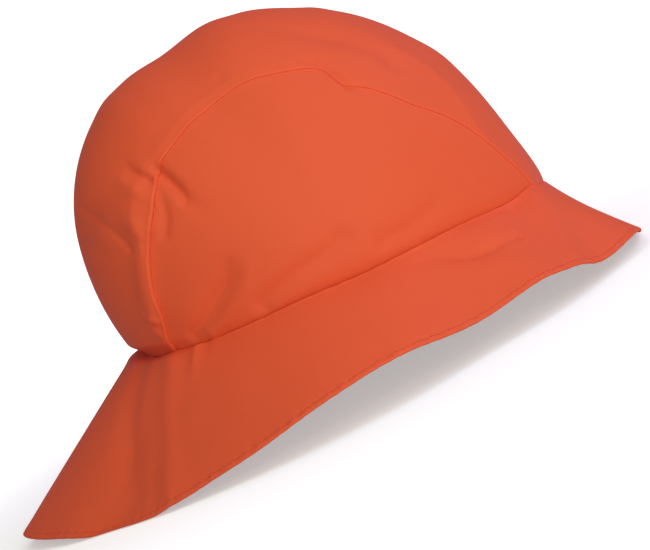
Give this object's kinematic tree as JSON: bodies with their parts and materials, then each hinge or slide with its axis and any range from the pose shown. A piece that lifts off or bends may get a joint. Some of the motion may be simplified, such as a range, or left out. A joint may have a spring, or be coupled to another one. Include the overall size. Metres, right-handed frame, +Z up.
{
  "type": "sou'wester rain hat",
  "caption": "Soft rain hat with a panelled crown and a stitched brim that is short in front and grows into a long neck flap at the back.",
  "frame": {"origin": "on the floor under the middle of the hat's box, where it stands on the edge of its brim", "axes": "+X to the front of the hat, +Y to the wearer's left, +Z up"},
  "size_m": [0.3138, 0.2682, 0.1755],
  "materials": {
    "coated_cloth": "orange coated cloth with a fine plain weave, matte to satin"
  },
  "bodies": {
    "root": {"crown_strip": "coated_cloth", "crown_side_right": "coated_cloth", "crown_side_left": "coated_cloth", "brim": "coated_cloth"}
  },
  "joints": []
}
